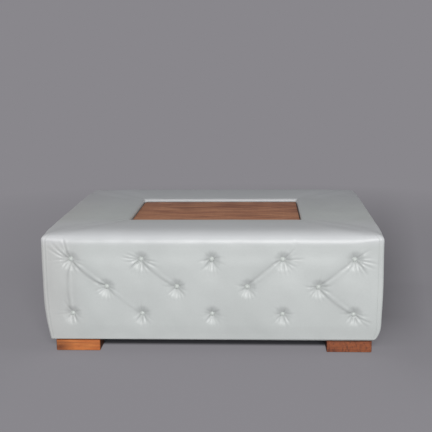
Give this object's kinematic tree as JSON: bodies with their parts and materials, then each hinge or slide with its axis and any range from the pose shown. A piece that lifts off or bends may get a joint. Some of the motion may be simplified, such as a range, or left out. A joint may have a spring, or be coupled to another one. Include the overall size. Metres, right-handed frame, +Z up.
{
  "type": "ottoman coffee table",
  "caption": "Low rectangular upholstered coffee table with button-tufted leather sides, a recessed wood board in the top and block wood feet.",
  "frame": {"origin": "on the floor under the middle of the table", "axes": "+X along the table's length to its right end, +Y from the front to the back, +Z up"},
  "size_m": [1.2, 1, 0.437],
  "materials": {
    "leather": "satin grained leather, pale grey-green",
    "button_leather": "satin grained leather, pale grey-green",
    "foam": "open-cell foam with wadding",
    "frame_wood": "planed pine",
    "plywood": "sanded plywood",
    "lining_cloth": "dark felt",
    "dust_cloth": "black non-woven cloth",
    "foot_wood": "satin varnish",
    "board_wood": "satin varnish",
    "glide": "matt",
    "screw_steel": "zinc plated"
  },
  "bodies": {
    "base": {"leather_cover": "leather", "foam_front": "foam", "foam_back": "foam", "foam_left": "foam", "foam_right": "foam", "foam_top_front": "foam", "foam_top_back": "foam", "foam_top_left": "foam", "foam_top_right": "foam", "well_strip_front": "frame_wood", "well_strip_back": "frame_wood", "well_strip_left": "frame_wood", "well_strip_right": "frame_wood", "well_lining": "lining_cloth", "deck_panel": "plywood", "panel_front": "plywood", "panel_back": "plywood", "panel_left": "plywood", "panel_right": "plywood", "base_rail_front": "frame_wood", "base_rail_back": "frame_wood", "base_rail_left": "frame_wood", "base_rail_right": "frame_wood", "post_front_left": "frame_wood", "post_front_right": "frame_wood", "post_back_left": "frame_wood", "post_back_right": "frame_wood", "cross_rail_left": "frame_wood", "cross_rail_right": "frame_wood", "dust_cloth": "dust_cloth", "foot_front_left": "foot_wood", "foot_front_right": "foot_wood", "foot_back_left": "foot_wood", "foot_back_right": "foot_wood", "glides": "glide", "foot_screws": "screw_steel", "buttons_front": "button_leather", "buttons_back": "button_leather", "buttons_left": "button_leather", "buttons_right": "button_leather"},
    "board": {"board": "board_wood"}
  },
  "joints": [
    {"name": "board_lift", "type": "slide", "parent": "base", "child": "board", "axis": [0, 0, 1], "range_m": [0, 0.12]}
  ]
}
